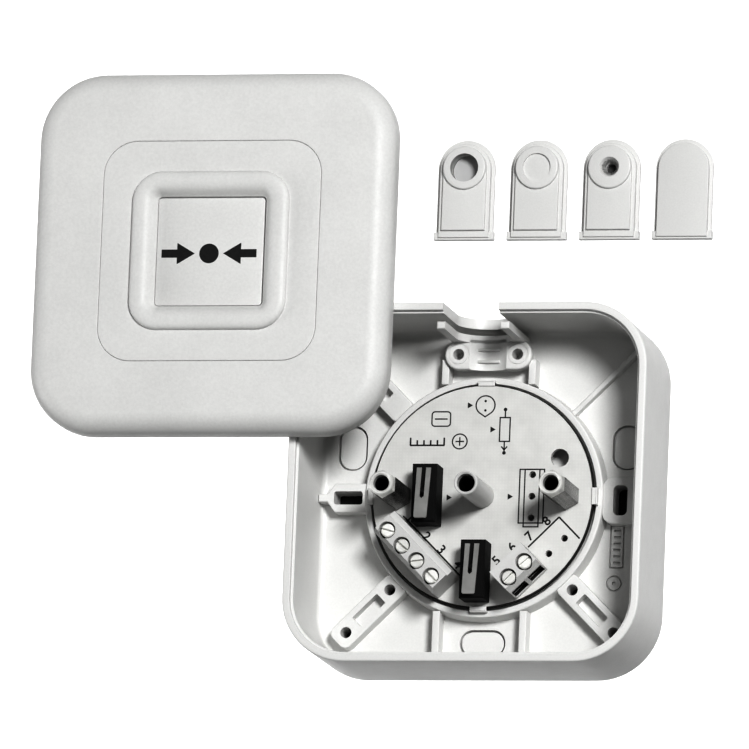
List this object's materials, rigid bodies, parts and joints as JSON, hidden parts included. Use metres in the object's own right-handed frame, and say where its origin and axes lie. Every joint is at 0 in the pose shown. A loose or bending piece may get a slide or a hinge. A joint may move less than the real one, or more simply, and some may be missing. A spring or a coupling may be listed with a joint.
{
  "type": "manual call point",
  "caption": "Square surface-mounted fire alarm call point opened for wiring: box with round circuit board, cover with a recessed press button set aside, and loose cable-entry inserts.",
  "frame": {"origin": "centre of the base box's flat back face", "axes": "+Z out of the box's open front, +Y towards the cable entry in the upper wall, +X to the right as seen from the front"},
  "size_m": [0.1537, 0.1373, 0.0378],
  "materials": {
    "housing": "fine texture",
    "cover": "fine texture",
    "insert": "smooth",
    "board": "light laminate with black print",
    "terminal": "moulded",
    "switch_case": "moulded",
    "tube": "moulded",
    "spring_steel": "rolled",
    "nickel": "nickel plate",
    "zinc": "zinc plate",
    "tin": "tinned"
  },
  "bodies": {
    "base": {"base_box": "housing", "circuit_board": "board", "hex_post_left": "nickel", "centre_tube": "tube", "hex_post_right": "nickel", "post_screw_1": "zinc", "post_screw_2": "zinc", "post_screw_3": "zinc", "switch_1_case": "switch_case", "switch_2_case": "switch_case", "switch_1_pin_1": "tin", "switch_1_pin_2": "tin", "switch_1_pin_3": "tin", "switch_2_pin_1": "tin", "switch_2_pin_2": "tin", "switch_2_pin_3": "tin", "terminal_4way_housing": "terminal", "terminal_2way_housing": "terminal", "contact_pin_1": "tin", "contact_pin_2": "tin", "contact_pin_3": "tin", "contact_pin_4": "tin", "contact_pin_5": "tin", "contact_pin_6": "tin"},
    "lever_1": {"switch_1_lever": "spring_steel"},
    "plunger_1": {"switch_1_plunger": "tube"},
    "lever_2": {"switch_2_lever": "spring_steel"},
    "plunger_2": {"switch_2_plunger": "tube"},
    "screw_1": {"terminal_screw_1": "zinc"},
    "screw_2": {"terminal_screw_2": "zinc"},
    "screw_3": {"terminal_screw_3": "zinc"},
    "screw_4": {"terminal_screw_4": "zinc"},
    "screw_5": {"terminal_screw_5": "zinc"},
    "screw_6": {"terminal_screw_6": "zinc"},
    "cage_1": {"clamp_cage_1": "tin"},
    "cage_2": {"clamp_cage_2": "tin"},
    "cage_3": {"clamp_cage_3": "tin"},
    "cage_4": {"clamp_cage_4": "tin"},
    "cage_5": {"clamp_cage_5": "tin"},
    "cage_6": {"clamp_cage_6": "tin"},
    "cover": {"cover_shell": "cover", "button_spring": "spring_steel"},
    "plate": {"centre_plate": "cover"},
    "button": {"alarm_button": "cover"},
    "left_screw": {"cover_screw_left": "zinc"},
    "right_screw": {"cover_screw_right": "zinc"},
    "large_bore": {"insert_large_bore": "insert"},
    "knock_out": {"insert_knock_out": "insert"},
    "small_bore": {"insert_small_bore": "insert"},
    "blank": {"insert_blank": "insert"}
  },
  "joints": [
    {"name": "cover_slide", "type": "slide", "parent": "base", "child": "cover", "axis": [0.754, -0.6569, 0], "range_m": [0, 0.08038]},
    {"name": "centre_plate_lift", "type": "slide", "parent": "cover", "child": "plate", "axis": [0, 0, 1], "range_m": [0, 0.012]},
    {"name": "button_press", "type": "slide", "parent": "plate", "child": "button", "axis": [0, 0, -1], "range_m": [0, 0.0016], "stiffness_N_per_m": 400, "springref_m": -0.004, "deforming": ["button_spring"]},
    {"name": "cover_screw_left_drive", "type": "slide", "parent": "cover", "child": "left_screw", "axis": [0, 0, -1], "range_m": [0, 0.0032]},
    {"name": "cover_screw_right_drive", "type": "slide", "parent": "cover", "child": "right_screw", "axis": [0, 0, -1], "range_m": [0, 0.0032]},
    {"name": "switch_1_lever_hinge", "type": "hinge", "parent": "base", "child": "lever_1", "pos_m": [-0.0124, 0.005, 0.0158], "axis": [1, 0, 0], "range_deg": [0, 9], "stiffness_Nm_per_rad": 0.01, "springref_deg": -11.46},
    {"name": "switch_1_plunger_slide", "type": "slide", "parent": "base", "child": "plunger_1", "axis": [0, 0, -1], "range_m": [0, 0.000785]},
    {"name": "switch_2_lever_hinge", "type": "hinge", "parent": "base", "child": "lever_2", "pos_m": [-0.0003, -0.0128, 0.0158], "axis": [1, 0, 0], "range_deg": [0, 9], "stiffness_Nm_per_rad": 0.01, "springref_deg": -11.46},
    {"name": "switch_2_plunger_slide", "type": "slide", "parent": "base", "child": "plunger_2", "axis": [0, 0, -1], "range_m": [0, 0.000785]},
    {"name": "terminal_screw_1_turn", "type": "hinge", "parent": "base", "child": "screw_1", "pos_m": [-0.02003, -0.00967, 0.0162], "axis": [0, 0, -1], "range_deg": [0, 1080]},
    {"name": "terminal_screw_2_turn", "type": "hinge", "parent": "base", "child": "screw_2", "pos_m": [-0.01643, -0.01327, 0.0162], "axis": [0, 0, -1], "range_deg": [0, 1080]},
    {"name": "terminal_screw_3_turn", "type": "hinge", "parent": "base", "child": "screw_3", "pos_m": [-0.01284, -0.01686, 0.0162], "axis": [0, 0, -1], "range_deg": [0, 1080]},
    {"name": "terminal_screw_4_turn", "type": "hinge", "parent": "base", "child": "screw_4", "pos_m": [-0.00925, -0.02045, 0.0162], "axis": [0, 0, -1], "range_deg": [0, 1080]},
    {"name": "terminal_screw_5_turn", "type": "hinge", "parent": "base", "child": "screw_5", "pos_m": [0.00904, -0.02066, 0.0162], "axis": [0, 0, -1], "range_deg": [0, 1080]},
    {"name": "terminal_screw_6_turn", "type": "hinge", "parent": "base", "child": "screw_6", "pos_m": [0.01263, -0.01707, 0.0162], "axis": [0, 0, -1], "range_deg": [0, 1080]},
    {"name": "clamp_cage_1_rise", "type": "slide", "parent": "base", "child": "cage_1", "axis": [0, 0, 1], "range_m": [0, 0.0012]},
    {"name": "clamp_cage_2_rise", "type": "slide", "parent": "base", "child": "cage_2", "axis": [0, 0, 1], "range_m": [0, 0.0012]},
    {"name": "clamp_cage_3_rise", "type": "slide", "parent": "base", "child": "cage_3", "axis": [0, 0, 1], "range_m": [0, 0.0012]},
    {"name": "clamp_cage_4_rise", "type": "slide", "parent": "base", "child": "cage_4", "axis": [0, 0, 1], "range_m": [0, 0.0012]},
    {"name": "clamp_cage_5_rise", "type": "slide", "parent": "base", "child": "cage_5", "axis": [0, 0, 1], "range_m": [0, 0.0012]},
    {"name": "clamp_cage_6_rise", "type": "slide", "parent": "base", "child": "cage_6", "axis": [0, 0, 1], "range_m": [0, 0.0012]},
    {"name": "insert_large_bore_lift", "type": "slide", "parent": "base", "child": "large_bore", "axis": [0, 0, 1], "range_m": [0, 0.02]},
    {"name": "insert_knock_out_lift", "type": "slide", "parent": "base", "child": "knock_out", "axis": [0, 0, 1], "range_m": [0, 0.02]},
    {"name": "insert_small_bore_lift", "type": "slide", "parent": "base", "child": "small_bore", "axis": [0, 0, 1], "range_m": [0, 0.02]},
    {"name": "insert_blank_lift", "type": "slide", "parent": "base", "child": "blank", "axis": [0, 0, 1], "range_m": [0, 0.02]}
  ],
  "couplings": [
    {"joint": "switch_1_lever_hinge", "follows": "switch_1_plunger_slide", "rad_per_m": 200},
    {"joint": "switch_2_lever_hinge", "follows": "switch_2_plunger_slide", "rad_per_m": 200},
    {"joint": "terminal_screw_1_turn", "follows": "clamp_cage_1_rise", "rad_per_m": 15708},
    {"joint": "terminal_screw_2_turn", "follows": "clamp_cage_2_rise", "rad_per_m": 15708},
    {"joint": "terminal_screw_3_turn", "follows": "clamp_cage_3_rise", "rad_per_m": 15708},
    {"joint": "terminal_screw_4_turn", "follows": "clamp_cage_4_rise", "rad_per_m": 15708},
    {"joint": "terminal_screw_5_turn", "follows": "clamp_cage_5_rise", "rad_per_m": 15708},
    {"joint": "terminal_screw_6_turn", "follows": "clamp_cage_6_rise", "rad_per_m": 15708}
  ]
}
